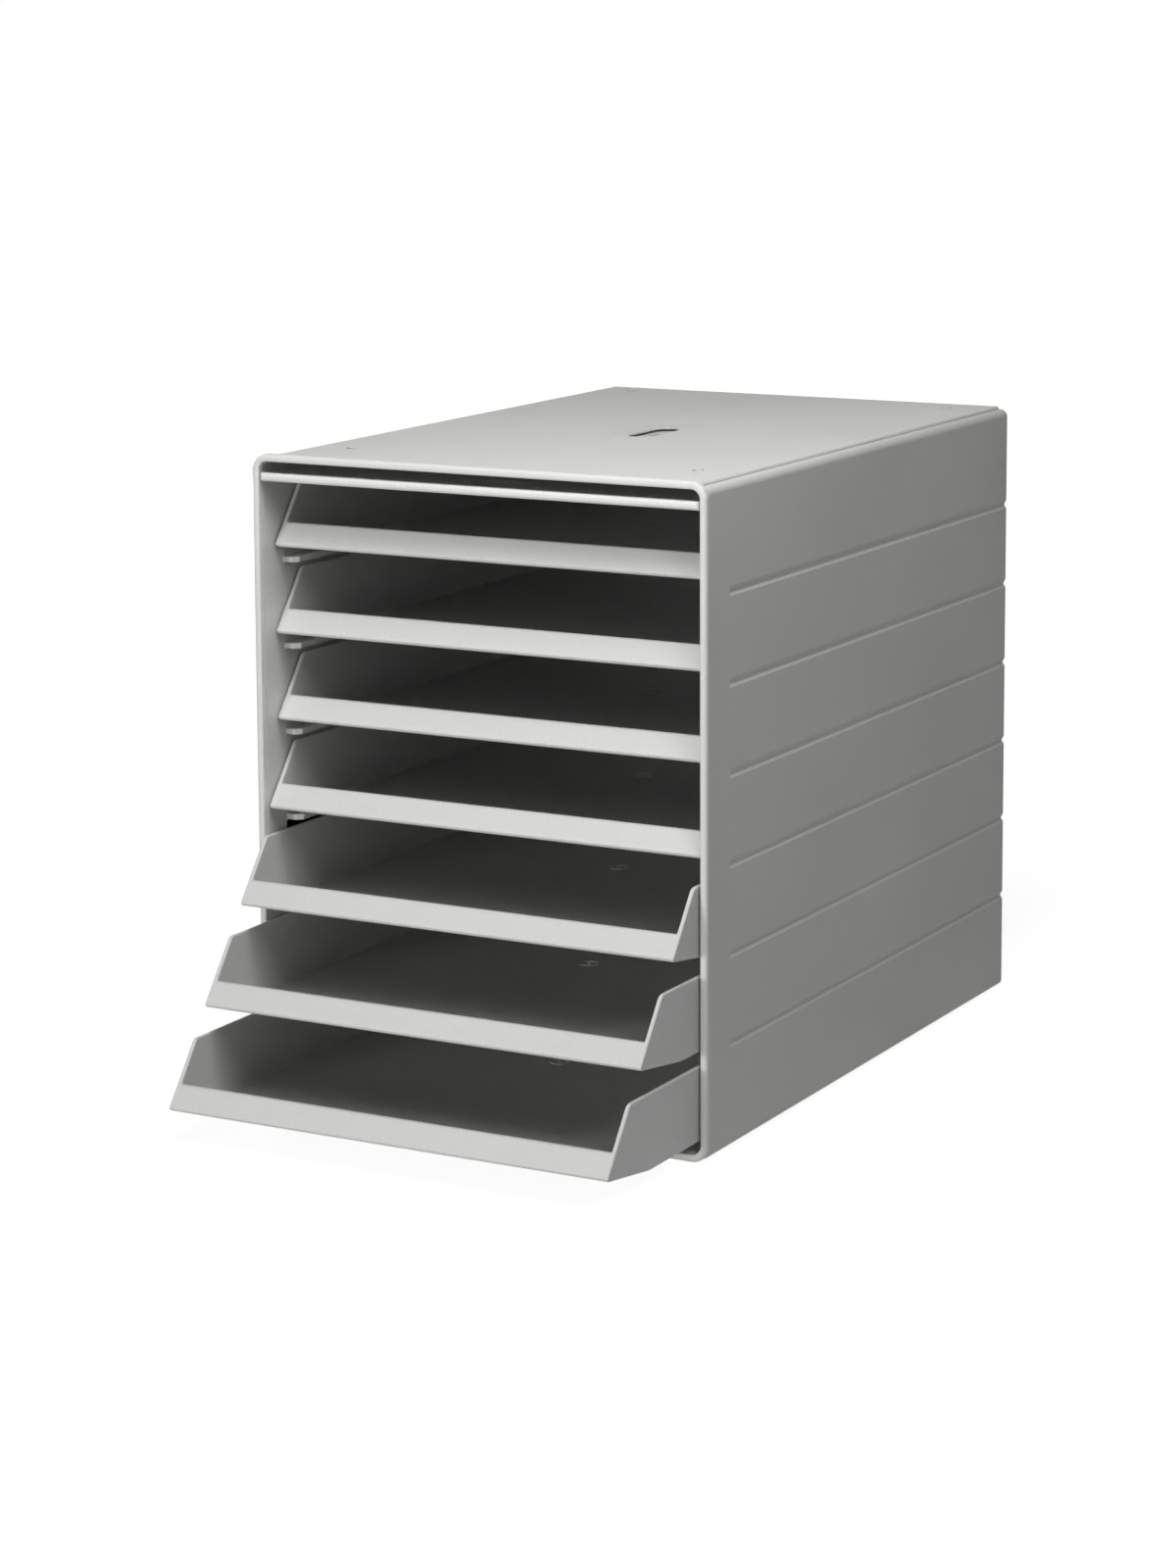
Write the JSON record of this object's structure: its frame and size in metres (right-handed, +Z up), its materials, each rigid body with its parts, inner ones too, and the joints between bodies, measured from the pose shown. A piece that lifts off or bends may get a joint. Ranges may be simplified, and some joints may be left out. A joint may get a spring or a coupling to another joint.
{
  "type": "desktop drawer organizer",
  "caption": "Desktop drawer organizer: a moulded case with open pull-out paper trays and a front flap that slides in under the top.",
  "frame": {"origin": "on the desk, under the middle of the case and its drawn-out trays", "axes": "+X to the right seen from the front, +Y from the front to the back, +Z up"},
  "size_m": [0.2508, 0.4548, 0.326],
  "materials": {
    "case_plastic": "satin, finely grained light grey polystyrene",
    "tray_plastic": "satin light grey polystyrene",
    "flap_plastic": "satin light grey polystyrene",
    "foot_rubber": "matte anti-slip rubber"
  },
  "bodies": {
    "case": {"side_panel_left": "case_plastic", "side_panel_right": "case_plastic", "top_panel": "case_plastic", "bottom_panel": "case_plastic", "back_panel": "case_plastic", "front_frame": "case_plastic", "flap_guide_left": "case_plastic", "flap_guide_right": "case_plastic", "foot_pad_front_left": "foot_rubber", "foot_pad_front_right": "foot_rubber", "foot_pad_rear_left": "foot_rubber", "foot_pad_rear_right": "foot_rubber"},
    "flap": {"front_flap": "flap_plastic"},
    "drawer_1": {"drawer_1": "tray_plastic"},
    "drawer_2": {"drawer_2": "tray_plastic"},
    "drawer_3": {"drawer_3": "tray_plastic"},
    "drawer_4": {"drawer_4": "tray_plastic"},
    "drawer_5": {"drawer_5": "tray_plastic"},
    "drawer_6": {"drawer_6": "tray_plastic"},
    "drawer_7": {"drawer_7": "tray_plastic"}
  },
  "joints": [
    {"name": "flap_slide", "type": "slide", "parent": "case", "child": "flap", "axis": [0, -1, 0], "range_m": [0, 0.235]},
    {"name": "drawer_1_slide", "type": "slide", "parent": "case", "child": "drawer_1", "axis": [0, -1, 0], "range_m": [0, 0.24]},
    {"name": "drawer_2_slide", "type": "slide", "parent": "case", "child": "drawer_2", "axis": [0, -1, 0], "range_m": [0, 0.24]},
    {"name": "drawer_3_slide", "type": "slide", "parent": "case", "child": "drawer_3", "axis": [0, -1, 0], "range_m": [0, 0.24]},
    {"name": "drawer_4_slide", "type": "slide", "parent": "case", "child": "drawer_4", "axis": [0, -1, 0], "range_m": [-0.0088, 0.2312]},
    {"name": "drawer_5_slide", "type": "slide", "parent": "case", "child": "drawer_5", "axis": [0, -1, 0], "range_m": [-0.0365, 0.2035]},
    {"name": "drawer_6_slide", "type": "slide", "parent": "case", "child": "drawer_6", "axis": [0, -1, 0], "range_m": [-0.0691, 0.1709]},
    {"name": "drawer_7_slide", "type": "slide", "parent": "case", "child": "drawer_7", "axis": [0, -1, 0], "range_m": [-0.1013, 0.1387]}
  ]
}
